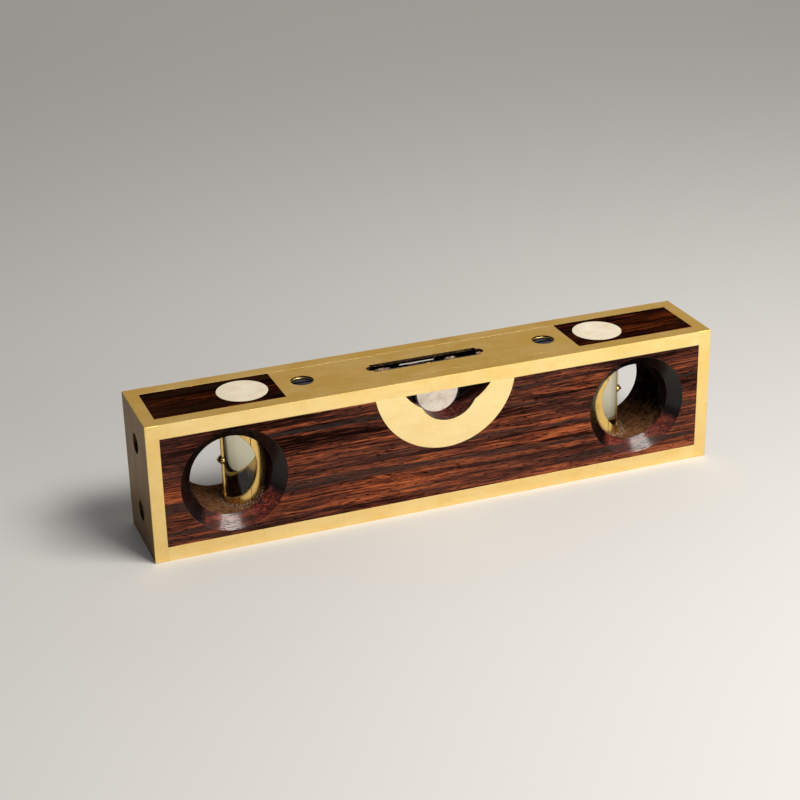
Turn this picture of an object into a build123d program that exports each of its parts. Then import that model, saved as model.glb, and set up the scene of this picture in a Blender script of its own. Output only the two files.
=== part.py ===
from build123d import *
import os

os.makedirs("parts", exist_ok=True)

# A small brass-bound rosewood spirit level: one level vial under a slotted top plate and
# two plumb vials in round portholes. X runs along the level, the face with the reader in
# front of it is -Y, Z is up, and the origin is the centre of the sole.

# ---- Overall size ----
length = 165.1
width = 25.4
height = 39.7

# ---- Brass binding ----
end_plate_thickness = 3.7
binding_width = 4.1            # what each corner strip shows on either face
binding_thickness = 1.6
edge_chamfer = 0.1             # every outer brass arris is eased by this much

# ---- Portholes and the plumb vials that stand across them ----
porthole_from_end = 23.05      # porthole axis to the nearer end of the level
porthole_rise = 0.3            # porthole axis above mid-height
porthole_margin = 0.7          # flat wood between the bevel and the top corner strip
porthole_bevel_spread = 3.35
porthole_bevel_depth = 3.5
plumb_offset = 6.8             # plumb vial axis to porthole axis, towards the middle
case_radius = 7.0
case_wall = 0.7
case_floor = 4.5               # height of the bottom of the plumb vial's hole
window_margin = 0.4            # window's radius less than the porthole's bore
window_offset = 2.25           # window's centre to porthole axis, towards the end
window_slant = 7.0             # window's axis turned from Y, which opens it wider at the rear
window_rise = 0.5              # window's centre above porthole axis
index_strip_width = 1.3
index_bead_radius = 1.3
plug_thickness = 3.0
plumb_glass_wall = 0.9
plumb_seal_thickness = 1.5
plumb_bubble_radius = 2.2
plumb_bubble_length = 6.0

# ---- Top plate ----
plate_to_plug = 2.7            # wood between the plate's end and the bone plug
plate_thickness = 0.8
plate_screw_inset = 7.2        # screw axis to the plate's end
slot_half_length = 15.7
slot_width = 5.3
slot_nib_radius = 1.6          # round nib that ends each end of the slot
index_nub = 0.6                # mark at mid-length on the slot's front edge

# ---- Half-moon side plates and the eye in each ----
moon_radius = 20.6
moon_thickness = 1.0
moon_offset = 1.0              # centre to the right of mid-length
moon_drop = 0.65               # centre below the top
eye_radius = 8.7
eye_offset = 1.7               # eye's centre to the right of mid-length
eye_drop = 4.5                 # eye's centre below the top
shoulder_radius = 15.4         # flatter round that widens the eye into its two shoulders
shoulder_rise = 4.9            # centre of the shoulders' round above the top
eye_bore_radius = 6.05
eye_bore_drop = 6.0            # axis of the bore behind the eye, below the top
eye_bevel_depth = 3.0
eye_lip = 0.6                  # wood left round the bore where the shoulders run past it
shoulder_wall = 0.8            # wood between the bottom of the shoulders and the vial's chamber

# ---- Level vial and the plaster it is bedded in ----
vial_radius = 4.75
vial_wall = 0.8
vial_past_slot = 0.7           # glass past each end of the slot
vial_under_plate = 0.25        # top of the glass below the plate
vial_dome = 2.5                # length of each rounded glass end
bed_side = 1.5                 # plaster beside and below the glass
bed_end = 1.0                  # plaster past each end of the glass
bed_above_axis = 1.5
bubble_radius = 1.5
bubble_length = 11.0
bubble_gap = 0.3               # free space round each bubble

# ---- Countersunk slotted screws ----
plate_screw = dict(head_radius=3.2, head_height=1.4, shank_radius=1.7, sunk=0.5,
                   reach=14.0, slot_width=0.9, slot_depth=0.6)
end_screw = dict(head_radius=2.9, head_height=1.5, shank_radius=1.6, sunk=1.1,
                 reach=13.0, slot_width=0.8, slot_depth=0.6)
end_screw_spacing = 20.0

# ---- Places worked out from the sizes above ----
wood_length = length - 2 * end_plate_thickness
mid_height = height / 2
plate_width = width - 2 * binding_width
plate_floor = height - plate_thickness
porthole_x = length / 2 - porthole_from_end
porthole_z = mid_height + porthole_rise
porthole_mouth = height - binding_width - porthole_margin - porthole_z
porthole_radius = porthole_mouth - porthole_bevel_spread
case_x = porthole_x - plumb_offset
case_top = height - plug_thickness
case_bore = case_radius - case_wall
plate_half_length = case_x - case_radius - plate_to_plug
plate_screw_x = plate_half_length - plate_screw_inset
moon_back = width / 2 - moon_thickness
eye_bore_mouth = moon_back - eye_bevel_depth
vial_axis = plate_floor - vial_under_plate - vial_radius
vial_bore = vial_radius - vial_wall
chamber_half_width = vial_radius + bed_side
vial_half_length = slot_half_length + slot_nib_radius + vial_past_slot
chamber_half_length = vial_half_length + bed_end
chamber_floor = vial_axis - vial_radius - bed_side
shoulder_floor = chamber_half_width + shoulder_wall


def rod_x(radius, x_from, x_to, y, z):
    """Cylinder along X."""
    return Pos((x_from + x_to) / 2, y, z) * Rot(0, 90, 0) * Cylinder(radius, abs(x_to - x_from))


def rod_y(radius, y_from, y_to, x, z):
    """Cylinder along Y."""
    return Pos(x, (y_from + y_to) / 2, z) * Rot(90, 0, 0) * Cylinder(radius, abs(y_to - y_from))


def rod_z(radius, z_from, z_to, x, y=0):
    """Cylinder along Z."""
    return Pos(x, y, (z_from + z_to) / 2) * Cylinder(radius, abs(z_to - z_from))


def block(x_size, y_size, z_from, z_to):
    """Box centred over the origin between two heights."""
    return Pos(0, 0, (z_from + z_to) / 2) * Box(x_size, y_size, z_to - z_from)


def to_left(part):
    return mirror(part, about=Plane.YZ)


def to_rear(part):
    return mirror(part, about=Plane.XZ)


def to_bottom(part):
    return mirror(part, about=Plane.XY.offset(mid_height))


def screw_envelope(head_radius, head_height, shank_radius, sunk, reach, **slot):
    """What a sunk screw takes out of the pieces it passes, its axis on +Z and the mouth at 0."""
    mouth = rod_z(head_radius, -sunk, 0, 0)
    head = Pos(0, 0, -sunk - head_height / 2) * Cone(shank_radius, head_radius, head_height)
    shank = rod_z(shank_radius, -reach, -sunk - head_height, 0)
    return mouth + head + shank


def screw(head_radius, head_height, shank_radius, sunk, reach, slot_width, slot_depth):
    """The screw itself: the envelope without its mouth, slotted along X."""
    envelope = screw_envelope(head_radius, head_height, shank_radius, sunk, reach)
    below_mouth = Pos(0, 0, -sunk - reach) * Box(4 * head_radius, 4 * head_radius, 2 * reach)
    driver_slot = Pos(0, 0, -sunk) * Box(4 * head_radius, slot_width, 2 * slot_depth)
    return (envelope & below_mouth) - driver_slot


# ---- Corner strips: an L section, mirrored to the other three corners ----
corner = (0, -width / 2, height)
flange_on_top = Pos(0, (binding_width - width) / 2, height - binding_thickness / 2) * Box(
    wood_length, binding_width, binding_thickness)
flange_on_side = Pos(0, (binding_thickness - width) / 2, height - binding_width / 2) * Box(
    wood_length, binding_thickness, binding_width)
corner_rabbet = flange_on_top + flange_on_side
rabbets = corner_rabbet + to_rear(corner_rabbet)
rabbets += to_bottom(rabbets)
top_front_binding = chamfer(corner_rabbet.edges().sort_by_distance(corner)[0], edge_chamfer)
top_rear_binding = to_rear(top_front_binding)
bottom_front_binding = to_bottom(top_front_binding)
bottom_rear_binding = to_bottom(top_rear_binding)

# ---- End plates and their screws ----
right_end_x = length / 2
plate_blank = Pos(right_end_x - end_plate_thickness / 2, 0, mid_height) * Box(
    end_plate_thickness, width, height)
eased = plate_blank.faces().sort_by(Axis.X)[-1].edges() + plate_blank.edges().filter_by(Axis.X)
plate_blank = chamfer(eased, edge_chamfer)
end_screw_places = [Pos(right_end_x, 0, mid_height + side * end_screw_spacing / 2) * Rot(0, 90, 0)
                    for side in (-1, 1)]
end_screw_holes = Part() + [place * screw_envelope(**end_screw) for place in end_screw_places]
right_end_plate = plate_blank - end_screw_holes
right_end_screws = [place * screw(**end_screw) for place in end_screw_places]

# ---- Half-moon plates: a disc cut off by the corner strip, with the eye through it ----
binding_edge = height - binding_width
below_binding = block(length, width, 0, binding_edge)
eye_outline = Pos(eye_offset, height - eye_drop) * Circle(eye_radius)
shoulder_outline = Pos(eye_offset, height + shoulder_rise) * Circle(shoulder_radius)
eye_sketch = eye_outline + shoulder_outline
moon_disc = rod_y(moon_radius, -width / 2, -moon_back, moon_offset, height - moon_drop) & below_binding
eye_through_plate = extrude(Plane.XZ * eye_sketch, width / 2)
front_half_moon = moon_disc - eye_through_plate

# ---- Behind each eye: a bevel down to a bore, and a deeper recess for the shoulders ----
eye_bore_z = height - eye_bore_drop
eye_bevel = loft([Plane.XZ.offset(moon_back) * eye_outline,
                  Plane.XZ.offset(eye_bore_mouth) * Pos(0, eye_bore_z) * Circle(eye_bore_radius)],
                 ruled=True)
shoulder_recess = extrude(Plane.XZ.offset(shoulder_floor) * shoulder_outline,
                          moon_back - shoulder_floor)
shoulder_recess -= rod_y(eye_bore_radius + eye_lip, -eye_bore_mouth, -shoulder_floor, 0, eye_bore_z)
front_eye = (eye_bevel + shoulder_recess) & below_binding
eye_bore = rod_y(eye_bore_radius, -eye_bore_mouth, eye_bore_mouth, 0, eye_bore_z)

# ---- Top plate with its slot ----
plate_slab = block(2 * plate_half_length, plate_width, plate_floor, height)
slot = block(2 * slot_half_length, slot_width, plate_floor, height)
for end_x in (-slot_half_length, slot_half_length):
    slot += rod_z(slot_nib_radius, plate_floor, height, end_x)
slot -= rod_z(index_nub, plate_floor, height, 0, -slot_width / 2)
plate_screw_places = [Pos(side * plate_screw_x, 0, height) for side in (-1, 1)]
plate_screw_holes = Part() + [place * screw_envelope(**plate_screw) for place in plate_screw_places]
top_plate = plate_slab - slot - plate_screw_holes
plate_screws = [place * screw(**plate_screw) for place in plate_screw_places]

# ---- Portholes, and the holes bored down from the top for the plumb vials ----
bevel = Pos(porthole_x, -(width - porthole_bevel_depth) / 2, porthole_z) * Rot(90, 0, 0) * Cone(
    porthole_radius, porthole_mouth, porthole_bevel_depth)
right_porthole = rod_y(porthole_radius, -width / 2, width / 2, porthole_x, porthole_z)
right_porthole += [bevel, to_rear(bevel)]
right_plumb_hole = rod_z(case_radius, case_floor, height, case_x)

# ---- Rosewood stock ----
chamber = block(2 * chamber_half_length, 2 * chamber_half_width, chamber_floor, plate_floor)
stock = block(wood_length, width, 0, height) - rabbets - plate_slab - chamber - eye_bore
stock -= [moon_disc, to_rear(moon_disc), front_eye, to_rear(front_eye)]
stock -= [right_porthole, to_left(right_porthole), right_plumb_hole, to_left(right_plumb_hole)]
stock -= [plate_screw_holes, end_screw_holes, to_left(end_screw_holes)]

# ---- Plumb vial: a windowed brass case, glass, spirit, seals and the plug over it ----
outside = rod_z(case_radius, case_floor, case_top, case_x)
inside = rod_z(case_bore, case_floor, case_top, case_x)
case_tube = outside - inside
index_strip = case_tube & (Pos(case_x + case_radius, 0, mid_height) * Box(
    2 * case_wall + index_strip_width, index_strip_width, height))
window_z = porthole_z + window_rise
index_bead = Pos(case_x + case_radius - case_wall / 2, 0, window_z) * Sphere(index_bead_radius)
window_cutter = rod_y(porthole_radius - window_margin, -width / 2, width / 2, 0, 0)
window = Pos(porthole_x + window_offset, 0, window_z) * Rot(0, 0, window_slant) * window_cutter
right_plumb_case = (case_tube - window) + index_strip + (index_bead - inside)

glass_floor = case_floor + plumb_seal_thickness
glass_top = case_top - plumb_seal_thickness
plumb_bore = case_bore - plumb_glass_wall
right_plumb_glass = (rod_z(case_bore, glass_floor, glass_top, case_x)
                     - rod_z(plumb_bore, glass_floor, glass_top, case_x))
right_plumb_spirit = (rod_z(plumb_bore, glass_floor, glass_top, case_x)
                      - rod_z(plumb_bubble_radius + bubble_gap, glass_floor, glass_top, case_x))
bubble_top = glass_top - bubble_gap
bubble_straight = plumb_bubble_length - 2 * plumb_bubble_radius
right_plumb_bubble = rod_z(plumb_bubble_radius, bubble_top - plumb_bubble_radius - bubble_straight,
                           bubble_top - plumb_bubble_radius, case_x)
for ball_z in (bubble_top - plumb_bubble_radius - bubble_straight, bubble_top - plumb_bubble_radius):
    right_plumb_bubble += Pos(case_x, 0, ball_z) * Sphere(plumb_bubble_radius)
right_plumb_seals = [rod_z(case_bore, case_floor, glass_floor, case_x),
                     rod_z(case_bore, glass_top, case_top, case_x)]
right_bone_plug = rod_z(case_radius, case_top, height, case_x)

# ---- Level vial: glass with a rounded end piece at each end, spirit with a groove, bubble ----
barrel_end = vial_half_length - vial_dome
main_vial_glass = (rod_x(vial_radius, -barrel_end, barrel_end, 0, vial_axis)
                   - rod_x(vial_bore, -barrel_end, barrel_end, 0, vial_axis))
dome = rod_x(vial_radius, barrel_end, vial_half_length, 0, vial_axis)
dome = fillet(dome.edges().sort_by(Axis.X)[-1], 0.8 * vial_dome)
main_vial_ends = [dome, to_left(dome)]
bubble_axis = vial_axis + vial_bore - bubble_gap - bubble_radius
groove_radius = bubble_radius + bubble_gap
groove = rod_x(groove_radius, -barrel_end, barrel_end, 0, bubble_axis)
groove += Pos(0, 0, bubble_axis + vial_bore / 2) * Box(2 * barrel_end, 2 * groove_radius, vial_bore)
main_vial_spirit = rod_x(vial_bore, -barrel_end, barrel_end, 0, vial_axis) - groove
ball_x = bubble_length / 2 - bubble_radius
main_vial_bubble = rod_x(bubble_radius, -ball_x, ball_x, 0, bubble_axis)
for end_x in (-ball_x, ball_x):
    main_vial_bubble += Pos(end_x, 0, bubble_axis) * Sphere(bubble_radius)

# ---- Plaster poured round the vial and out through the bore to each eye ----
vial_envelope = (main_vial_glass + rod_x(vial_bore, -barrel_end, barrel_end, 0, vial_axis)
                 + main_vial_ends)
plaster_bed = ((chamber + eye_bore) & block(length, width, 0, vial_axis + bed_above_axis)) - vial_envelope

# ---- One STEP file for each sub-part ----
nodes = {
    "stock": stock,
    "top_front_binding": top_front_binding,
    "top_rear_binding": top_rear_binding,
    "bottom_front_binding": bottom_front_binding,
    "bottom_rear_binding": bottom_rear_binding,
    "front_half_moon": front_half_moon,
    "rear_half_moon": to_rear(front_half_moon),
    "top_plate": top_plate,
    "plate_screws": Compound(plate_screws),
    "plaster_bed": plaster_bed,
    "main_vial_glass": main_vial_glass,
    "main_vial_ends": Compound(main_vial_ends),
    "main_vial_spirit": main_vial_spirit,
    "main_vial_bubble": main_vial_bubble,
}
right_hand = {
    "end_plate": right_end_plate,
    "end_screws": Compound(right_end_screws),
    "plumb_case": right_plumb_case,
    "plumb_glass": right_plumb_glass,
    "plumb_seals": Compound(right_plumb_seals),
    "plumb_spirit": right_plumb_spirit,
    "plumb_bubble": right_plumb_bubble,
    "bone_plug": right_bone_plug,
}
for name, part in right_hand.items():
    nodes["right_" + name] = part
    nodes["left_" + name] = to_left(part)

for name, part in nodes.items():
    export_step(part, "parts/" + name + ".step")
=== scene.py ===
import math

import bmesh
import bpy
from mathutils import Matrix, Quaternion, Vector, noise


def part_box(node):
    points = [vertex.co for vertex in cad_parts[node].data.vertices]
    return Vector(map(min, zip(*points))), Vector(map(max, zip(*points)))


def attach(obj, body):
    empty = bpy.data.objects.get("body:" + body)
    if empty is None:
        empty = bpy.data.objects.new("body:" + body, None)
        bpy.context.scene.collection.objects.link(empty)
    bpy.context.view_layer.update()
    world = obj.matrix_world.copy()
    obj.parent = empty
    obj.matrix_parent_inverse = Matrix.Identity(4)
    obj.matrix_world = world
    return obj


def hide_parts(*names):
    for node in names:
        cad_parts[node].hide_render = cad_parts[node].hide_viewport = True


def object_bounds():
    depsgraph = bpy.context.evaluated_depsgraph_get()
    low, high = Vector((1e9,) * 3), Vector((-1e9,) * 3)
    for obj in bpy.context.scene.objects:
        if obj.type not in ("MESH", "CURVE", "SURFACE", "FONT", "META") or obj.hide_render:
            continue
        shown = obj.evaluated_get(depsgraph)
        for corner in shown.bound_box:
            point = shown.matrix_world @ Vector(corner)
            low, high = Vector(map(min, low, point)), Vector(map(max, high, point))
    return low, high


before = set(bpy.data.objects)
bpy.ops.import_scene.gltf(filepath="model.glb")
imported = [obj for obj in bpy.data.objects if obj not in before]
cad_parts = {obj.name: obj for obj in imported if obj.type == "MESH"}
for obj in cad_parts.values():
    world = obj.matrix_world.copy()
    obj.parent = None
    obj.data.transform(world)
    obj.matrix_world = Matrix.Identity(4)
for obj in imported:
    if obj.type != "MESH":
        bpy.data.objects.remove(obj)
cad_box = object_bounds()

MM = 0.001

# ---- Studio -----------------------------------------------------------------------------
# A pale sheet of board under the level, a soft key panel high at the front right, a broad low
# card at the same side that brightens the brass, and a dim card behind for the top. The
# camera stands at the left front and looks down on the level.


def linear(hex_colour, alpha=1.0):
    """A colour written as sRGB hex, in the linear values that shaders take."""
    channels = [int(hex_colour[i:i + 2], 16) / 255 for i in (1, 3, 5)]
    return [c / 12.92 if c <= 0.04045 else ((c + 0.055) / 1.055) ** 2.4 for c in channels] + [alpha]


def add(tree, kind, links=None, stops=None, **settings):
    """Adds a node. links gives each input a value or another node's output, and stops gives a
    ramp's colours."""
    made = tree.nodes.new(kind)
    for name, value in settings.items():
        setattr(made, name, value)
    for socket, value in (links or {}).items():
        if isinstance(value, bpy.types.NodeSocket):
            tree.links.new(value, made.inputs[socket])
        else:
            made.inputs[socket].default_value = value
    for i, (place, colour) in enumerate(stops or []):
        element = made.color_ramp.elements[i] if i < 2 else made.color_ramp.elements.new(place)
        element.position = place
        element.color = linear(colour)
    return made


def new_material(name):
    """A material with a bare Principled shader, its node tree and the shader."""
    material = bpy.data.materials.new(name)
    material.use_nodes = True
    tree = material.node_tree
    return material, tree, tree.nodes["Principled BSDF"]


scene = bpy.context.scene
scene.view_settings.view_transform = "Standard"
low, high = cad_box
size = high - low

board_half = 3.0
below_sole = 0.02 * MM
board_mesh = bpy.data.meshes.new("board")
board_mesh.from_pydata([(-board_half, -board_half, 0), (board_half, -board_half, 0),
                        (board_half, board_half, 0), (-board_half, board_half, 0)], [], [(0, 1, 2, 3)])
board_mesh.transform(Matrix.Translation((0, 0, low.z - below_sole)))
board = bpy.data.objects.new("board", board_mesh)
scene.collection.objects.link(board)
board_material, tree, shader = new_material("pale matt board")
shader.inputs["Base Color"].default_value = linear("#D9D8D6")
shader.inputs["Roughness"].default_value = 0.7
shader.inputs["Specular IOR Level"].default_value = 0.25
board_mesh.materials.append(board_material)

world = bpy.data.worlds.new("studio")
scene.world = world
world.use_nodes = True
world.node_tree.nodes["Background"].inputs["Color"].default_value = linear("#D6D8DC")
world.node_tree.nodes["Background"].inputs["Strength"].default_value = 0.22

lamps = (
    ("key panel", (0.16, -0.25, 0.49), (0.0, 0.0, 0.0), (0.30, 0.20), 2.9, "#FFFBF5"),
    ("low front card", (0.34, -0.58, 0.15), (0.02, 0.0, 0.02), (0.80, 0.26), 2.95, "#FFF9F0"),
    ("rear card", (0.27, 0.74, 0.37), (0.0, 0.0, 0.03), (1.10, 0.60), 1.0, "#FFF6E6"),
)
for name, place, target, (wide, tall), watts, colour in lamps:
    lamp_data = bpy.data.lights.new(name, "AREA")
    lamp_data.shape = "RECTANGLE"
    lamp_data.size = wide
    lamp_data.size_y = tall
    lamp_data.energy = watts
    lamp_data.color = linear(colour)[:3]
    lamp = bpy.data.objects.new(name, lamp_data)
    lamp.location = place
    lamp.rotation_euler = (Vector(target) - Vector(place)).to_track_quat("-Z", "Y").to_euler()
    lamp.visible_camera = False
    scene.collection.objects.link(lamp)

camera_data = bpy.data.cameras.new("camera")
camera_data.sensor_width = 36
camera_data.lens = 82.18
camera = bpy.data.objects.new("camera", camera_data)
# The camera's place is counted in lengths of the level.
camera.location = Vector((-1.02565, -2.62484, 1.42455)) * size.x
looks_along = Vector((0.31912, 0.85567, -0.40742))
camera_roll = math.radians(-1.372)
camera.rotation_mode = "QUATERNION"
camera.rotation_quaternion = looks_along.to_track_quat("-Z", "Y") @ Quaternion((0, 0, 1), camera_roll)
scene.collection.objects.link(camera)
scene.camera = camera

# ---- Rosewood stock ---------------------------------------------------------------------
# One block of rosewood, planed and oiled, bored right through for the two portholes and down
# from the top for the plumb vials. The portholes' bevels and the eyes' funnels are scraped and
# varnished, and the bores behind them are left from the bit. Painted shade darkens the top,
# the bevels and funnels where they face less up, and the bores.


def softened(node, name, arris, materials, smooth_above=30, segments=2, squared=0):
    """A copy of a CAD node with its triangles joined and every sharp edge rounded by arris. A corner
    nearer than squared to one of the level's own long arrises is drawn out onto it."""
    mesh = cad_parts[node].data.copy()
    made = bmesh.new()
    made.from_mesh(mesh)
    for corner in made.verts:
        x, y, z = corner.co
        if high.y - abs(y) < squared and min(z - low.z, high.z - z) < squared:
            corner.co = (x, math.copysign(high.y, y), low.z if z < size.z / 2 else high.z)
    bmesh.ops.remove_doubles(made, verts=made.verts, dist=0.002 * MM)
    bmesh.ops.dissolve_limit(made, angle_limit=math.radians(0.4), verts=made.verts, edges=made.edges)
    made.to_mesh(mesh)
    made.free()
    mesh.shade_smooth()
    rough = bpy.data.objects.new("unfinished", mesh)
    scene.collection.objects.link(rough)
    bevel = rough.modifiers.new("arris", "BEVEL")
    bevel.width = arris
    bevel.segments = segments
    bevel.limit_method = "ANGLE"
    bevel.angle_limit = math.radians(smooth_above)
    bevel.use_clamp_overlap = False
    bevel.miter_outer = "MITER_ARC"
    flattened = rough.modifiers.new("flat faces", "WEIGHTED_NORMAL")
    flattened.weight = 80
    done = bpy.data.meshes.new_from_object(rough.evaluated_get(bpy.context.evaluated_depsgraph_get()))
    bpy.data.objects.remove(rough)
    done.name = name
    done.materials.clear()
    for material in materials:
        done.materials.append(material)
    piece = bpy.data.objects.new(name, done)
    scene.collection.objects.link(piece)
    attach(piece, "level")
    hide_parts(node)
    return piece


def millimetres(tree, turn=(0, 0, 0), scale=(1, 1, 1)):
    """Object coordinates counted in millimetres, turned by degrees and stretched."""
    place = add(tree, "ShaderNodeTexCoord")
    return add(tree, "ShaderNodeMapping", {
        "Vector": place.outputs["Object"], "Rotation": [math.radians(a) for a in turn],
        "Scale": [1000 * s for s in scale]}).outputs["Vector"]


def rosewood(name, tones, roughness, gloss, painted_shade, painted_shade_from, painted_shade_to, dust_and_lit_floor=None):
    """Rosewood with its grain along the level. tones run from the dark streaks to the pale ones.
    Its shade colour is painted shade: it darkens faces by how far they face up and to the left, from
    none at the first shade limit to all of it at the second."""
    material, tree, shader = new_material(name)
    # Growth bands about 2 mm wide and 60 mm long, which climb a little to the right.
    bands = add(tree, "ShaderNodeTexNoise", {
        "Vector": millimetres(tree, (0, 3.5, 2), (0.016, 0.42, 0.42)), "Scale": 1.0, "Detail": 4.0,
        "Roughness": 0.6, "Distortion": 0.5})
    # Streaks under half a millimetre wide between them, broken every centimetre or so.
    streaks = add(tree, "ShaderNodeTexNoise", {
        "Vector": millimetres(tree, (0, 4.5, 2), (0.10, 2.2, 2.2)), "Scale": 1.0, "Detail": 3.0,
        "Roughness": 0.65, "Distortion": 0.3})
    both = add(tree, "ShaderNodeMath", {0: bands.outputs["Fac"], 1: streaks.outputs["Fac"]},
               operation="ADD")
    # The board is paler and redder towards the sole.
    height = add(tree, "ShaderNodeSeparateXYZ", {"Vector": millimetres(tree)})
    shaded = add(tree, "ShaderNodeMath", {0: height.outputs["Z"], 1: -0.004, 2: both.outputs[0]},
                 operation="MULTIPLY_ADD")
    tone = add(tree, "ShaderNodeValToRGB", {"Fac": add(tree, "ShaderNodeMapRange", {
        "Value": shaded.outputs[0], "From Min": 0.75, "From Max": 1.14}).outputs["Result"]},
        stops=[(0.0, tones[0]), (1.0, tones[3]), (0.38, tones[1]), (0.66, tones[2])])
    # A few ink-black bands 1 to 2 mm wide run nearly the whole length.
    ink = add(tree, "ShaderNodeTexNoise", {
        "Vector": millimetres(tree, (0, 4, 1), (0.009, 0.30, 0.30)), "Scale": 1.0, "Detail": 4.0,
        "Roughness": 0.5, "Distortion": 0.4})
    inked = add(tree, "ShaderNodeMapRange", {
        "Value": ink.outputs["Fac"], "From Min": 0.435, "From Max": 0.39, "To Max": 0.85})
    tone = add(tree, "ShaderNodeMix", {
        "Factor": inked.outputs["Result"], "A": tone.outputs["Color"], "B": linear("#2A2422")},
        data_type="RGBA")
    # Some of the board has faded towards grey, in patches a finger wide.
    faded = add(tree, "ShaderNodeTexNoise", {
        "Vector": millimetres(tree, (0, 4, 0), (0.02, 0.10, 0.10)), "Scale": 1.0, "Detail": 2.0})
    fade = add(tree, "ShaderNodeMapRange", {
        "Value": faded.outputs["Fac"], "From Min": 0.42, "From Max": 0.68, "To Max": 0.45})
    toned = add(tree, "ShaderNodeMix", {
        "Factor": fade.outputs["Result"], "A": tone.outputs["Result"], "B": linear("#4A302A")},
        data_type="RGBA")
    # Open pores: dark dashes 3 mm long. The real ones are under 0.1 mm wide, and these are twice that.
    pores = add(tree, "ShaderNodeTexNoise", {
        "Vector": millimetres(tree, (0, 4.5, 2), (0.40, 4.2, 4.2)), "Scale": 1.0, "Detail": 1.0,
        "Roughness": 0.5})
    pore = add(tree, "ShaderNodeMapRange", {
        "Value": pores.outputs["Fac"], "From Min": 0.60, "From Max": 0.67})
    colour = add(tree, "ShaderNodeMix", {
        "Factor": pore.outputs["Result"], "A": toned.outputs["Result"], "B": linear("#120705")},
        data_type="RGBA")
    # Painted shade: a colour multiplied in by how far each face points up and to the left.
    facing = add(tree, "ShaderNodeSeparateXYZ", {
        "Vector": add(tree, "ShaderNodeNewGeometry").outputs["Normal"]})
    leaning = add(tree, "ShaderNodeMath", {0: facing.outputs["X"], 1: -0.18, 2: facing.outputs["Z"]},
                  operation="MULTIPLY_ADD")
    painted_shading = add(tree, "ShaderNodeMapRange", {
        "Value": leaning.outputs[0], "From Min": painted_shade_from, "From Max": painted_shade_to})
    colour = add(tree, "ShaderNodeMix", {
        "Factor": painted_shading.outputs["Result"], "A": colour.outputs["Result"], "B": linear(painted_shade)},
        data_type="RGBA", blend_type="MULTIPLY")
    shine = add(tree, "ShaderNodeMapRange", {
        "Value": streaks.outputs["Fac"], "From Min": 0.3, "From Max": 0.7,
        "To Min": roughness + 0.05, "To Max": roughness - 0.05})
    if dust_and_lit_floor:
        # Plaster dust settled on what faces up, which is also painted light on the floor of each bore.
        dust_and_light_patches = add(tree, "ShaderNodeTexNoise", {
            "Vector": millimetres(tree, scale=(0.7, 0.7, 0.7)), "Scale": 1.0, "Detail": 4.0,
            "Roughness": 0.65})
        lying = add(tree, "ShaderNodeMath", {0: facing.outputs["Z"], 1: dust_and_light_patches.outputs["Fac"]},
                    operation="MULTIPLY")
        amount = add(tree, "ShaderNodeMapRange", {
            "Value": lying.outputs[0], "From Min": 0.22, "From Max": 0.55, "To Max": 0.75})
        colour = add(tree, "ShaderNodeMix", {
            "Factor": amount.outputs["Result"], "A": colour.outputs["Result"], "B": linear(dust_and_lit_floor)},
            data_type="RGBA")
    tree.links.new(colour.outputs["Result"], shader.inputs["Base Color"])
    tree.links.new(shine.outputs["Result"], shader.inputs["Roughness"])
    shader.inputs["IOR"].default_value = 1.5
    shader.inputs["Specular IOR Level"].default_value = gloss
    dents = add(tree, "ShaderNodeBump", {
        "Height": pore.outputs["Result"], "Distance": 0.03 * MM, "Strength": 0.6}, invert=True)
    tree.links.new(dents.outputs["Normal"], shader.inputs["Normal"])
    return material


# Planed and oiled rosewood: red-brown and dull, with painted shade darkening what faces up.
oiled_rosewood = rosewood(
    "oiled rosewood", ("#120705", "#42221A", "#793D27", "#A45935"), roughness=0.42, gloss=0.0,
    painted_shade="#BAA47C", painted_shade_from=0.5, painted_shade_to=0.9)
# Scraped and varnished rosewood: wet gloss and wine red, with painted shade that turns it near black
# where it faces less than steeply up.
varnished_rosewood = rosewood(
    "varnished rosewood", ("#1E0705", "#48160F", "#68291D", "#7E3C2E"), roughness=0.20, gloss=0.34,
    painted_shade="#38201A", painted_shade_from=0.52, painted_shade_to=0.40)
# Bored rosewood: painted shade makes it near black and dull, and the brown along the bottom is plaster
# dust and painted light together.
bored_rosewood = rosewood(
    "bored rosewood", ("#040201", "#080402", "#100804", "#1A1009"), roughness=0.65, gloss=0.0,
    painted_shade="#FFFFFF", painted_shade_from=0.0, painted_shade_to=1.0, dust_and_lit_floor="#80583A")

bone_low, bone_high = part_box("right_bone_plug")
case_x = (bone_low.x + bone_high.x) / 2
case_radius = (bone_high.x - bone_low.x) / 2
plumb_offset = 6.8 * MM
porthole_rise = 0.3 * MM
porthole_x = case_x + plumb_offset
porthole_z = size.z / 2 + porthole_rise
porthole_mouth = 14.75 * MM
porthole_bore = 11.4 * MM
moon_low, moon_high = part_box("front_half_moon")
funnel_half = 13.0 * MM

stock = softened("stock", "rosewood_stock", 0.12 * MM,
                 (oiled_rosewood, varnished_rosewood, bored_rosewood))
oiled, varnished, bored = 0, 1, 2
just_in = 0.05 * MM
for face in stock.data.polygons:
    x, y, z = face.center
    from_porthole = math.hypot(abs(x) - porthole_x, z - porthole_z)
    if abs(y) < high.y - just_in and from_porthole < porthole_mouth + just_in:
        face.material_index = varnished if from_porthole > porthole_bore + just_in else bored
    elif abs(y) < abs(moon_high.y) - just_in and abs(x) < funnel_half and z > moon_low.z + just_in:
        face.material_index = varnished
    else:
        face.material_index = oiled

# ---- Brass corner strips ----------------------------------------------------------------
# Four lengths of brass angle let into the stock's long corners, drawn, filed flush with the
# wood and rubbed lengthwise. The outer arrises are eased.


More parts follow.
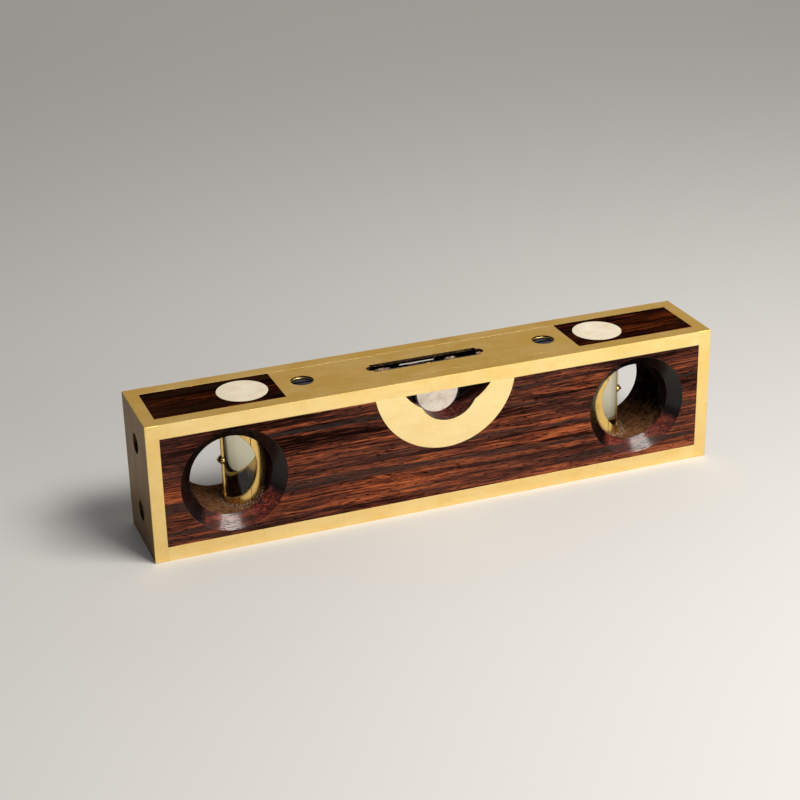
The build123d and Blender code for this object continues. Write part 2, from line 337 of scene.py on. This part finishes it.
def brass(name, grain, roughness, clean="#F5D996", tarnished_and_shaded="#E2B755"):
    """Satin brass. grain is how many rubbing marks there are to a millimetre along X, Y and Z."""
    material, tree, shader = new_material(name)
    shader.inputs["Metallic"].default_value = 1.0
    # Rubbing marks, a sixth to a quarter of a millimetre apart and many times as long.
    marks = add(tree, "ShaderNodeTexNoise", {
        "Vector": millimetres(tree, scale=grain), "Scale": 1.0, "Detail": 3.0, "Roughness": 0.65})
    # Tarnish in patches about 8 mm across, and painted shade on what faces up, laid on in the same
    # darker colour.
    clouds = add(tree, "ShaderNodeTexNoise", {
        "Vector": millimetres(tree, scale=(0.07, 0.13, 0.13)), "Scale": 1.0, "Detail": 8.0,
        "Roughness": 0.72, "Distortion": 0.3})
    facing = add(tree, "ShaderNodeSeparateXYZ", {
        "Vector": add(tree, "ShaderNodeNewGeometry").outputs["Normal"]})
    painted_top_shade = add(tree, "ShaderNodeMapRange", {
        "Value": facing.outputs["Z"], "From Min": 0.55, "From Max": 0.98, "To Max": 0.70})
    patchy = add(tree, "ShaderNodeMapRange", {
        "Value": clouds.outputs["Fac"], "From Min": 0.42, "From Max": 0.74, "To Max": 0.6})
    tarnish_and_top_shade = add(tree, "ShaderNodeMath", {0: painted_top_shade.outputs["Result"], 1: patchy.outputs["Result"]},
                  operation="ADD", use_clamp=True)
    toned = add(tree, "ShaderNodeMix", {
        "Factor": tarnish_and_top_shade.outputs[0], "A": linear(clean), "B": linear(tarnished_and_shaded)}, data_type="RGBA")
    # A few brown specks, a third of a millimetre across.
    specks = add(tree, "ShaderNodeTexNoise", {
        "Vector": millimetres(tree), "Scale": 2.6, "Detail": 1.0, "Roughness": 0.5})
    clusters = add(tree, "ShaderNodeTexNoise", {
        "Vector": millimetres(tree), "Scale": 0.16, "Detail": 2.0})
    dotted = add(tree, "ShaderNodeMath", {0: specks.outputs["Fac"], 1: clusters.outputs["Fac"]},
                 operation="MULTIPLY")
    dot = add(tree, "ShaderNodeMapRange", {
        "Value": dotted.outputs[0], "From Min": 0.43, "From Max": 0.50, "To Max": 0.7})
    spotted = add(tree, "ShaderNodeMix", {
        "Factor": dot.outputs["Result"], "A": toned.outputs["Result"], "B": linear("#7A4F22")},
        data_type="RGBA")
    tree.links.new(spotted.outputs["Result"], shader.inputs["Base Color"])
    rough = add(tree, "ShaderNodeMapRange", {
        "Value": marks.outputs["Fac"], "From Min": 0.3, "From Max": 0.7,
        "To Min": roughness - 0.08, "To Max": roughness + 0.10})
    dulled = add(tree, "ShaderNodeMath", {0: tarnish_and_top_shade.outputs[0], 1: 0.10, 2: rough.outputs["Result"]},
                 operation="MULTIPLY_ADD")
    tree.links.new(dulled.outputs[0], shader.inputs["Roughness"])
    ridges = add(tree, "ShaderNodeBump", {
        "Height": marks.outputs["Fac"], "Distance": 0.007 * MM, "Strength": 0.7})
    pits = add(tree, "ShaderNodeBump", {
        "Height": dot.outputs["Result"], "Distance": 0.02 * MM, "Strength": 0.5,
        "Normal": ridges.outputs["Normal"]}, invert=True)
    tree.links.new(pits.outputs["Normal"], shader.inputs["Normal"])
    return material


# Drawn brass, rubbed along its length: a soft gold shine drawn out into fine lines.
drawn_brass = brass("drawn brass", (0.05, 6.0, 6.0), 0.38)
for node in ("top_front_binding", "top_rear_binding", "bottom_front_binding", "bottom_rear_binding"):
    strip = softened(node, node.replace("binding", "brass_strip"), 0.03 * MM, [drawn_brass],
                     squared=0.15 * MM)

# ---- Brass end plates -------------------------------------------------------------------
# A thick brass plate screwed over each end of the stock, filed flush with the strips. It was
# rubbed up and down, so its marks cross those of the strips that it meets.

# Cast brass, rubbed up and down: a little duller than the strips.
cast_brass = brass("cast brass", (6.0, 6.0, 0.05), 0.40, clean="#F2D48E")
# Grimed brass: brown and dull, for polish and dust packed into a hole or against an edge, and for
# painted shade on the walls of holes, of the slot and of cut edges.
grimed_and_shaded_brass, tree, shader = new_material("grimed brass")
packed = add(tree, "ShaderNodeTexNoise", {
    "Vector": millimetres(tree, scale=(0.9, 0.9, 0.9)), "Scale": 1.0, "Detail": 3.0, "Roughness": 0.6})
grime_and_shade_tone = add(tree, "ShaderNodeValToRGB", {"Fac": packed.outputs["Fac"]},
            stops=[(0.35, "#100A05"), (0.72, "#7A5A2C"), (0.55, "#38250F")])
tree.links.new(grime_and_shade_tone.outputs["Color"], shader.inputs["Base Color"])
shader.inputs["Metallic"].default_value = 0.5
shader.inputs["Roughness"].default_value = 0.6
# Toned brass: the plates' outer faces, dark brown and a little rougher, as painted shade and reflection
# for the dark these end faces mirror.
end_shade_brass = brass("toned brass", (6.0, 6.0, 0.05), 0.46, clean="#86683E", tarnished_and_shaded="#6B4E2A")
end_spacing = 20 * MM
screw_hole = 3.05 * MM
# A plate's clean brass is its material 0. Its faces are told apart by how squarely they face out.
grime_and_shade, toned = 1, 2
flat_on = 0.99
hole_side = 0.9
cut_edge = 0.6
for side in ("left", "right"):
    plate = softened(side + "_end_plate", side + "_brass_end", 0.04 * MM,
                     [cast_brass, grimed_and_shaded_brass, end_shade_brass])
    for face in plate.data.polygons:
        # Faces that point straight along the level take the dark brown of painted end shade.
        if abs(face.normal.x) > flat_on:
            face.material_index = toned
        from_axis = math.hypot(face.center.y, abs(face.center.z - size.z / 2) - end_spacing / 2)
        # Screw-hole walls take grimed brass: grime and painted shade.
        if from_axis < screw_hole and abs(face.normal.x) < hole_side:
            face.material_index = grime_and_shade

# ---- Half-moon plates -------------------------------------------------------------------
# A half disc of sheet brass let in flush on each side, with the winged eye cut through it to
# show the end of the plaster bed.

# Rolled sheet brass, rubbed flat: the cleanest and brightest brass on the level.
sheet_brass = brass("sheet brass", (0.08, 5.0, 5.0), 0.38, clean="#FAE2A6")
for side in ("front", "rear"):
    moon = softened(side + "_half_moon", side + "_brass_moon", 0.04 * MM, [sheet_brass, grimed_and_shaded_brass])
    for face in moon.data.polygons:
        # The cut edges take grimed brass: grime and painted shade.
        if abs(face.normal.y) < cut_edge:
            face.material_index = grime_and_shade

# ---- Top plate --------------------------------------------------------------------------
# A strip of brass let into the top between the corner strips and rubbed lengthwise. The sight
# slot, with its round ends and its small index nub, is filed out of it.

plate = softened("top_plate", "slotted_brass_plate", 0.03 * MM, [drawn_brass, grimed_and_shaded_brass])
for face in plate.data.polygons:
    # The walls of the slot and the screw holes take grimed brass: grime and painted shade.
    if abs(face.normal.z) < cut_edge:
        face.material_index = grime_and_shade

# ---- Blued slotted screws ---------------------------------------------------------------
# Two flat-headed steel screws hold the top plate and two hold each end plate. They are turned,
# slotted, heated until they go blue-black, and driven a little below the brass.


def turned(name, outline, turn=0, place=(0, 0, 0), steps=64):
    """A mesh spun about Z from (radius, height) points that run upwards, then turned about Y by
    degrees and set in place."""
    corners = []
    rings = []
    for radius, height in outline:
        count = steps if radius > 0 else 1
        rings.append(range(len(corners), len(corners) + count))
        for i in range(count):
            angle = 2 * math.pi * i / steps
            corners.append((radius * math.cos(angle), radius * math.sin(angle), height))
    faces = []
    for below, above in zip(rings, rings[1:]):
        for i in range(steps):
            j = (i + 1) % steps
            around = (below[i % len(below)], below[j % len(below)],
                      above[j % len(above)], above[i % len(above)])
            faces.append(list(dict.fromkeys(around)))
    mesh = bpy.data.meshes.new(name)
    mesh.from_pydata(corners, [], faces)
    mesh.transform(Matrix.Translation(place) @ Matrix.Rotation(math.radians(turn), 4, "Y"))
    mesh.shade_smooth()
    return mesh


def grown(name, mesh, tree, values):
    """The plain piece that a Geometry Nodes tree makes from a mesh with these named inputs."""
    start = bpy.data.objects.new("unfinished", mesh)
    scene.collection.objects.link(start)
    modifier = start.modifiers.new("geometry", "NODES")
    modifier.node_group = tree
    for item in tree.interface.items_tree:
        if item.in_out == "INPUT" and item.name in values:
            modifier[item.identifier] = values[item.name]
    done = bpy.data.meshes.new_from_object(start.evaluated_get(bpy.context.evaluated_depsgraph_get()))
    start.modifiers.remove(modifier)
    bpy.data.objects.remove(start)
    done.name = name
    piece = bpy.data.objects.new(name, done)
    scene.collection.objects.link(piece)
    return piece


# Blued steel: near black, with a violet-blue cast and straw-brown where the heat ran past it.
blued_steel, tree, shader = new_material("blued steel")
shader.inputs["Metallic"].default_value = 1.0
heat = add(tree, "ShaderNodeTexNoise", {
    "Vector": millimetres(tree, scale=(0.6, 0.6, 0.6)), "Scale": 1.0, "Detail": 3.0})
blue = add(tree, "ShaderNodeValToRGB", {"Fac": heat.outputs["Fac"]},
           stops=[(0.35, "#15161F"), (0.75, "#3A2E28"), (0.55, "#2B3346")])
tree.links.new(blue.outputs["Color"], shader.inputs["Base Color"])
shader.inputs["Roughness"].default_value = 0.30
turning = add(tree, "ShaderNodeTexNoise", {
    "Vector": millimetres(tree, scale=(3, 3, 3)), "Scale": 1.0, "Detail": 2.0})
tool_marks = add(tree, "ShaderNodeBump", {
    "Height": turning.outputs["Fac"], "Distance": 0.01 * MM, "Strength": 0.5})
tree.links.new(tool_marks.outputs["Normal"], shader.inputs["Normal"])

screw_row = bpy.data.node_groups.new("row of screws", "GeometryNodeTree")
for name, kind in (("Screw", "Geometry"), ("Count", "Int"), ("First Place", "Vector"),
                   ("Step", "Vector"), ("Turn", "Vector")):
    screw_row.interface.new_socket(name, in_out="INPUT", socket_type="NodeSocket" + kind)
screw_row.interface.new_socket("Screws", in_out="OUTPUT", socket_type="NodeSocketGeometry")
given = add(screw_row, "NodeGroupInput").outputs
places = add(screw_row, "GeometryNodeMeshLine", {
    "Count": given["Count"], "Start Location": given["First Place"], "Offset": given["Step"]})
placed = add(screw_row, "GeometryNodeInstanceOnPoints", {
    "Points": places.outputs["Mesh"], "Instance": given["Screw"], "Rotation": given["Turn"]})
real = add(screw_row, "GeometryNodeRealizeInstances", {"Geometry": placed.outputs["Instances"]})
steel = add(screw_row, "GeometryNodeSetMaterial", {
    "Geometry": real.outputs["Geometry"], "Material": blued_steel})
add(screw_row, "NodeGroupOutput", {"Screws": steel.outputs["Geometry"]})


def slotted_screw(head_radius, head_height, shank_radius, sunk, reach, slot_width, slot_depth):
    """One screw with its axis on Z and the brass's face at 0, as a mesh."""
    rim = 0.12 * MM
    crown = 0.10 * MM
    outline = [(0, -reach), (0.3 * shank_radius, -reach + rim),
               (shank_radius, -reach + 2 * shank_radius), (shank_radius, -sunk - head_height),
               (head_radius - rim, -sunk - 2 * rim),
               (head_radius, -sunk - rim), (head_radius - rim, -sunk - crown / 2),
               (head_radius / 2, -sunk - crown / 8), (0, -sunk)]
    blank = bpy.data.objects.new("unfinished", turned("screw", outline, steps=48))
    scene.collection.objects.link(blank)
    saw = bmesh.new()
    bmesh.ops.create_cube(saw, size=1.0, matrix=Matrix.Translation((0, 0, -sunk)) @ Matrix.Diagonal(
        (4 * head_radius, slot_width, 2 * slot_depth, 1)))
    saw_mesh = bpy.data.meshes.new("saw")
    saw.to_mesh(saw_mesh)
    saw.free()
    cutter = bpy.data.objects.new("saw", saw_mesh)
    scene.collection.objects.link(cutter)
    cut = blank.modifiers.new("slot", "BOOLEAN")
    cut.object = cutter
    cut.solver = "EXACT"
    bevel = blank.modifiers.new("arris", "BEVEL")
    bevel.width = 0.05 * MM
    bevel.limit_method = "ANGLE"
    bevel.angle_limit = math.radians(50)
    bevel.harden_normals = True
    done = bpy.data.meshes.new_from_object(blank.evaluated_get(bpy.context.evaluated_depsgraph_get()))
    bpy.data.objects.remove(blank)
    bpy.data.objects.remove(cutter)
    return done


plate_screw = slotted_screw(
    head_radius=3.15 * MM, head_height=1.4 * MM, shank_radius=1.65 * MM, sunk=0.5 * MM,
    reach=13.9 * MM, slot_width=0.9 * MM, slot_depth=0.6 * MM)
end_screw = slotted_screw(
    head_radius=2.85 * MM, head_height=1.5 * MM, shank_radius=1.55 * MM, sunk=1.1 * MM,
    reach=12.9 * MM, slot_width=0.8 * MM, slot_depth=0.6 * MM)
plate_hole = 3.2 * MM
first_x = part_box("plate_screws")[0].x + plate_hole
screws = grown("plate_screws_blued", plate_screw, screw_row, {
    "Count": 2, "First Place": (first_x, 0, size.z), "Step": (-2 * first_x, 0, 0), "Turn": (0, 0, 0)})
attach(screws, "level")
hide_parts("plate_screws")
for side, outwards in (("left", -1), ("right", 1)):
    screws = grown(side + "_end_screws_blued", end_screw, screw_row, {
        "Count": 2, "First Place": (outwards * high.x, 0, (size.z - end_spacing) / 2),
        "Step": (0, 0, end_spacing), "Turn": (0, outwards * math.pi / 2, 0)})
    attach(screws, "level")
    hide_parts(side + "_end_screws")

# ---- Plaster ----------------------------------------------------------------------------
# The level vial lies in plaster of Paris, poured round it from above until it filled the bore
# out to both eyes. Smears of it were left on the glass, and crumbs round the plumb cases.

# Plaster of Paris: warm white and dead matt, with pinholes, and dark brown in patches where it lies
# under the glass.
plaster, tree, shader = new_material("plaster of Paris")
mottled = add(tree, "ShaderNodeTexNoise", {
    "Vector": millimetres(tree, scale=(0.5, 0.5, 0.5)), "Scale": 1.0, "Detail": 4.0, "Roughness": 0.6})
white = add(tree, "ShaderNodeValToRGB", {"Fac": mottled.outputs["Fac"]},
            stops=[(0.25, "#DCCBB8"), (0.7, "#F6EEE4"), (0.5, "#F0E5D8")])
holes = add(tree, "ShaderNodeTexNoise", {
    "Vector": millimetres(tree), "Scale": 1.9, "Detail": 2.0, "Roughness": 0.5})
hole = add(tree, "ShaderNodeMapRange", {
    "Value": holes.outputs["Fac"], "From Min": 0.68, "From Max": 0.73})
pitted = add(tree, "ShaderNodeMix", {
    "Factor": hole.outputs["Result"], "A": white.outputs["Color"], "B": linear("#6E5A48")},
    data_type="RGBA")
# Dark brown in noisy patches within about 6.6 mm of the middle, under the glass.
across = add(tree, "ShaderNodeSeparateXYZ", {"Vector": millimetres(tree)})
from_middle = add(tree, "ShaderNodeMath", {0: across.outputs["Y"]}, operation="ABSOLUTE")
under_glass = add(tree, "ShaderNodeMapRange", {
    "Value": from_middle.outputs[0], "From Min": 6.6, "From Max": 6.1, "To Max": 0.95})
brown_patches = add(tree, "ShaderNodeTexNoise", {
    "Vector": millimetres(tree, scale=(0.25, 0.4, 0.4)), "Scale": 1.0, "Detail": 4.0, "Roughness": 0.6})
brown_patch_mask = add(tree, "ShaderNodeMapRange", {
    "Value": brown_patches.outputs["Fac"], "From Min": 0.66, "From Max": 0.58})
browned = add(tree, "ShaderNodeMath", {0: under_glass.outputs["Result"], 1: brown_patch_mask.outputs["Result"]},
              operation="MULTIPLY")
bed_colour = add(tree, "ShaderNodeMix", {
    "Factor": browned.outputs[0], "A": pitted.outputs["Result"], "B": linear("#1E140D")},
    data_type="RGBA")
tree.links.new(bed_colour.outputs["Result"], shader.inputs["Base Color"])
shader.inputs["Roughness"].default_value = 0.9
uneven = add(tree, "ShaderNodeMath", {0: mottled.outputs["Fac"], 1: hole.outputs["Result"]},
             operation="SUBTRACT")
lumpy = add(tree, "ShaderNodeBump", {
    "Height": uneven.outputs[0], "Distance": 0.12 * MM, "Strength": 0.5})
tree.links.new(lumpy.outputs["Normal"], shader.inputs["Normal"])

bed = softened("plaster_bed", "poured_plaster", 0.08 * MM, [plaster])
for side in ("left", "right"):
    seals = softened(side + "_plumb_seals", side + "_plaster_seals", 0.08 * MM, [plaster])

# Dirty plaster: what was left in the slot and round the cases, brown to tan and rough.
crumbly_plaster, tree, shader = new_material("dirty plaster")
dirt = add(tree, "ShaderNodeTexNoise", {
    "Vector": millimetres(tree, scale=(0.9, 0.9, 0.9)), "Scale": 1.0, "Detail": 4.0, "Roughness": 0.7})
dirty = add(tree, "ShaderNodeValToRGB", {"Fac": dirt.outputs["Fac"]},
            stops=[(0.35, "#4A382B"), (0.68, "#BFA78F"), (0.5, "#826A55")])
tree.links.new(dirty.outputs["Color"], shader.inputs["Base Color"])
shader.inputs["Roughness"].default_value = 0.9
grit = add(tree, "ShaderNodeBump", {
    "Height": dirt.outputs["Fac"], "Distance": 0.1 * MM, "Strength": 0.6})
tree.links.new(grit.outputs["Normal"], shader.inputs["Normal"])

vial_low, vial_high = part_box("main_vial_glass")
vial_radius = (vial_high.z - vial_low.z) / 2
vial_z = (vial_high.z + vial_low.z) / 2
smear_mesh = bmesh.new()
# Each smear's place along and across the vial, half its length and width, and its height, in mm.
smears = ((-12.6, 0.6, 2.0, 0.9, 0.45), (7.8, 1.0, 1.7, 0.8, 0.35), (16.3, 0.3, 0.9, 1.0, 0.45),
          (-16.3, 0.0, 0.7, 0.8, 0.35), (-3.2, 1.7, 1.3, 0.5, 0.25))
smear_sunk = 0.1
unevenness = 0.45
lumps_across = 2.3
for x, y, half_length, half_width, high_by in smears:
    on_glass = vial_z / MM + math.sqrt((vial_radius / MM) ** 2 - y ** 2) - smear_sunk
    lump = bmesh.ops.create_icosphere(smear_mesh, subdivisions=4, radius=1.0)["verts"]
    for corner in lump:
        swell = 1 + unevenness * noise.noise(corner.co * lumps_across + Vector((x, y, 0)))
        corner.co = Vector((x + corner.co.x * swell * half_length, y + corner.co.y * swell * half_width,
                            on_glass + corner.co.z * swell * high_by)) * MM
smeared = bpy.data.meshes.new("plaster_smears")
smear_mesh.to_mesh(smeared)
smear_mesh.free()
smeared.materials.append(crumbly_plaster)
smeared.shade_smooth()
plaster_smears = bpy.data.objects.new("plaster_smears", smeared)
scene.collection.objects.link(plaster_smears)
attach(plaster_smears, "level")

crumb_tree = bpy.data.node_groups.new("crumbs on a floor", "GeometryNodeTree")
for name, kind in (("Floor", "Geometry"), ("Crumbs Per Square Metre", "Float"), ("Smallest", "Float"),
                   ("Largest", "Float"), ("Seed", "Int")):
    crumb_tree.interface.new_socket(name, in_out="INPUT", socket_type="NodeSocket" + kind)
crumb_tree.interface.new_socket("Crumbs", in_out="OUTPUT", socket_type="NodeSocketGeometry")
given = add(crumb_tree, "NodeGroupInput").outputs
fallen = add(crumb_tree, "GeometryNodeDistributePointsOnFaces", {
    "Mesh": given["Floor"], "Density": given["Crumbs Per Square Metre"], "Seed": given["Seed"]})
any_way = add(crumb_tree, "FunctionNodeRandomValue", {
    "Min": (0, 0, 0), "Max": (6.28, 6.28, 6.28), "Seed": given["Seed"]}, data_type="FLOAT_VECTOR")
any_size = add(crumb_tree, "FunctionNodeRandomValue", {
    "Min": given["Smallest"], "Max": given["Largest"], "Seed": given["Seed"]}, data_type="FLOAT")
crumb = add(crumb_tree, "GeometryNodeMeshIcoSphere", {"Radius": 1.0, "Subdivisions": 1})
dropped = add(crumb_tree, "GeometryNodeInstanceOnPoints", {
    "Points": fallen.outputs["Points"], "Instance": crumb.outputs["Mesh"],
    "Rotation": any_way.outputs["Value"], "Scale": any_size.outputs["Value"]})
loose = add(crumb_tree, "GeometryNodeRealizeInstances", {"Geometry": dropped.outputs["Instances"]})
dusty = add(crumb_tree, "GeometryNodeSetMaterial", {
    "Geometry": loose.outputs["Geometry"], "Material": crumbly_plaster})
add(crumb_tree, "NodeGroupOutput", {"Crumbs": dusty.outputs["Geometry"]})

litter_width = 2.2 * MM
litter_steps = 48
# Crumbs lie only where the bore's floor is not too steep, within this part of its radius.
floor_part = 0.85
for side, outwards in (("left", -1), ("right", 1)):
    floor_mesh = bmesh.new()
    rings = []
    for radius in (case_radius, case_radius + litter_width / 3, case_radius + litter_width):
        ring = []
        for i in range(litter_steps):
            angle = 2 * math.pi * i / litter_steps
            x = case_x + radius * math.cos(angle)
            drop = math.sqrt(max(porthole_bore ** 2 - (x - porthole_x) ** 2, 0))
            ring.append(floor_mesh.verts.new(
                (outwards * x, radius * math.sin(angle), porthole_z - drop)))
        rings.append(ring)
    for inner, outer in zip(rings, rings[1:]):
        for i in range(litter_steps):
            j = (i + 1) % litter_steps
            nearest = min(abs(v.co.x) for v in (inner[i], inner[j]))
            if nearest > porthole_x - floor_part * porthole_bore:
                floor_mesh.faces.new((inner[i], inner[j], outer[j], outer[i]))
    floor_strip = bpy.data.meshes.new("bore floor")
    floor_mesh.to_mesh(floor_strip)
    floor_mesh.free()
    crumbs = grown(side + "_plaster_crumbs", floor_strip, crumb_tree, {
        "Crumbs Per Square Metre": 4.0e6, "Smallest": 0.07 * MM, "Largest": 0.26 * MM,
        "Seed": 7 + outwards})
    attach(crumbs, "level")

# ---- Level vial -------------------------------------------------------------------------
# A closed glass tube, drawn shut at both ends and nearly full of spirit. The bubble lies in
# it just under the glass, and runs to whichever end is higher.

# Blown glass: clear and slick, with the highlight of each lamp in it.
vial_glass, tree, shader = new_material("blown glass")
shader.inputs["Base Color"].default_value = linear("#FBFBF4")
shader.inputs["Transmission Weight"].default_value = 1.0
shader.inputs["Roughness"].default_value = 0.01
shader.inputs["IOR"].default_value = 1.5
# Spirit: faintly straw coloured. Its IOR is that of spirit against the glass round it.
spirit, tree, shader = new_material("spirit of wine")
shader.inputs["Base Color"].default_value = linear("#F6F1DA")
shader.inputs["Transmission Weight"].default_value = 1.0
shader.inputs["Roughness"].default_value = 0.0
shader.inputs["IOR"].default_value = 1.36 / 1.5
# Air: a smoky grey shape in the spirit. Air against spirit is 0.74, and 0.97 bends light so little
# that the shape has no bright rim.
air, tree, shader = new_material("air in spirit")
shader.inputs["Base Color"].default_value = linear("#5A5A56")
shader.inputs["Transmission Weight"].default_value = 1.0
shader.inputs["Roughness"].default_value = 0.0
shader.inputs["IOR"].default_value = 0.97


def rounded_outline(radius, half_length, rounding, steps=8):
    """The outline of a rod with rounded ends, for turned()."""
    turns = [math.pi / 2 * i / steps for i in range(steps + 1)]
    corner = [(math.sin(turn), math.cos(turn)) for turn in turns]
    lower = [(0, -half_length)] + [
        (radius - rounding + rounding * s, -half_length + rounding - rounding * c) for s, c in corner]
    return lower + [(r, -h) for r, h in reversed(lower)]


def vial_piece(name, mesh, material, body, slot, *replaced):
    """A finished piece of a vial, on its body, that stands for the CAD nodes named last."""
    mesh.materials.append(material)
    piece = bpy.data.objects.new(name, mesh)
    scene.collection.objects.link(piece)
    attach(piece, body)
    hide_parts(*replaced)
    return piece


vial_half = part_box("main_vial_ends")[1].x
skin = 0.03 * MM
glass_wall = 0.8 * MM
glass_rounding = 2.3 * MM
chamber_rounding = 2.0 * MM
lengthwise = 90
vial_centre = (0, 0, vial_z)
vial_piece("level_vial_glass", turned("level_vial_glass", rounded_outline(
    vial_radius - skin, vial_half, glass_rounding), lengthwise, vial_centre),
    vial_glass, "level", "vial_glass", "main_vial_glass", "main_vial_ends")
vial_piece("level_vial_spirit", turned("level_vial_spirit", rounded_outline(
    vial_radius - glass_wall, vial_half - 1.2 * glass_wall, chamber_rounding), lengthwise, vial_centre),
    spirit, "level", "spirit", "main_vial_spirit")
bubble_low, bubble_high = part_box("main_vial_bubble")
bubble_radius = (bubble_high.y - bubble_low.y) / 2
# A bubble's ends are rounded by a thousandth less than its radius, so each pole is a tiny flat.
bubble_rounding = 0.999
bubble_mesh = turned("level_vial_air", rounded_outline(
    bubble_radius, bubble_high.x, bubble_rounding * bubble_radius, 12), lengthwise,
    (0, 0, (bubble_low.z + bubble_high.z) / 2))
vial_piece("level_vial_air", bubble_mesh, air, "main_bubble", "bubble_air", "main_vial_bubble")

# ---- Plumb vials ------------------------------------------------------------------------
# Each porthole has a vial standing across it in a brass tube. A window is cut through the tube
# to leave one upright as the index, with a turned bead and collar at mid-height. The tube is
# dropped in from the top and stopped with plaster and a bone plug.

# Thin brass tube, polished: brighter than the plates, browner in patches of tarnish, and with painted
# shade in the same brown on what faces up.
tube_brass = brass("tube brass", (4.0, 4.0, 0.1), 0.24, clean="#EFCB7C", tarnished_and_shaded="#B98C3C")
tube_wall = 0.7 * MM
bead_x = case_x + case_radius - tube_wall / 2
collar_radius = 1.6 * MM
collar_thick = 0.45 * MM
collar_rim = 0.07 * MM
window_rise = 0.5 * MM
index_height = porthole_z + window_rise
plumb_glass_wall = 0.9 * MM
plumb_seal_gap = 0.2 * MM
plumb_rounding = 0.5 * MM
for side, outwards in (("left", -1), ("right", 1)):
    case = softened(side + "_plumb_case", side + "_brass_case", 0.16 * MM, [tube_brass], segments=3)
    collar = turned(side + "_index_collar", [
        (0, -collar_thick / 2), (collar_radius - collar_thick / 2, -collar_thick / 2),
        (collar_radius - collar_rim, -collar_thick / 4), (collar_radius, 0),
        (collar_radius - collar_rim, collar_thick / 4),
        (collar_radius - collar_thick / 2, collar_thick / 2),
        (0, collar_thick / 2)], place=(outwards * bead_x, 0, index_height), steps=40)
    for corner in collar.vertices:
        from_case = Vector((corner.co.x - outwards * case_x, corner.co.y, 0))
        if from_case.length < case_radius - tube_wall:
            from_case.length = case_radius - tube_wall
            corner.co.x = outwards * case_x + from_case.x
            corner.co.y = from_case.y
    collar.materials.append(tube_brass)
    collar_piece = bpy.data.objects.new(side + "_index_collar", collar)
    scene.collection.objects.link(collar_piece)
    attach(collar_piece, "level")

    tube_low, tube_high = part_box(side + "_plumb_glass")
    tube_radius = (tube_high.x - tube_low.x) / 2
    tube_half = (tube_high.z - tube_low.z) / 2
    tube_centre = (outwards * case_x, 0, (tube_high.z + tube_low.z) / 2)
    vial_piece(side + "_plumb_vial_glass", turned(side + "_plumb_vial_glass", rounded_outline(
        tube_radius - 2 * skin, tube_half, plumb_rounding), place=tube_centre),
        vial_glass, "level", "vial_glass", side + "_plumb_glass")
    vial_piece(side + "_plumb_vial_spirit", turned(side + "_plumb_vial_spirit", rounded_outline(
        tube_radius - plumb_glass_wall, tube_half - plumb_seal_gap, plumb_rounding),
        place=tube_centre),
        spirit, "level", "spirit", side + "_plumb_spirit")
    drop_low, drop_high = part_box(side + "_plumb_bubble")
    drop_radius = (drop_high.x - drop_low.x) / 2
    vial_piece(side + "_plumb_vial_air", turned(side + "_plumb_vial_air", rounded_outline(
        drop_radius, (drop_high.z - drop_low.z) / 2, bubble_rounding * drop_radius, 12),
        place=(outwards * case_x, 0, (drop_high.z + drop_low.z) / 2)),
        air, side + "_bubble", "bubble_air", side + "_plumb_bubble")

# ---- Bone plugs -------------------------------------------------------------------------
# A disc of sawn bone glued over each plumb vial and scraped flush with the top.

# Scraped bone: cream, with fine saw and scraper lines across it and a low waxy shine.
bone, tree, shader = new_material("scraped bone")
fibres = add(tree, "ShaderNodeTexNoise", {
    "Vector": millimetres(tree, (0, 0, 32), (0.25, 3.2, 1.0)), "Scale": 1.0, "Detail": 3.0,
    "Roughness": 0.6})
patches = add(tree, "ShaderNodeTexNoise", {
    "Vector": millimetres(tree, scale=(0.2, 0.2, 0.2)), "Scale": 1.0, "Detail": 3.0})
bone_tone = add(tree, "ShaderNodeMath", {0: fibres.outputs["Fac"], 1: patches.outputs["Fac"]},
                operation="ADD")
cream = add(tree, "ShaderNodeValToRGB", {"Fac": add(tree, "ShaderNodeMapRange", {
    "Value": bone_tone.outputs[0], "From Min": 0.7, "From Max": 1.3}).outputs["Result"]},
    stops=[(0.0, "#D9C8A6"), (1.0, "#EDE2CD"), (0.5, "#E6D9C0")])
tree.links.new(cream.outputs["Color"], shader.inputs["Base Color"])
shader.inputs["Roughness"].default_value = 0.42
shader.inputs["Subsurface Weight"].default_value = 0.15
shader.inputs["Subsurface Scale"].default_value = 1.0 * MM
scraped = add(tree, "ShaderNodeBump", {
    "Height": fibres.outputs["Fac"], "Distance": 0.01 * MM, "Strength": 0.6})
tree.links.new(scraped.outputs["Normal"], shader.inputs["Normal"])
for side in ("left", "right"):
    plug = softened(side + "_bone_plug", side + "_bone_disc", 0.06 * MM, [bone])
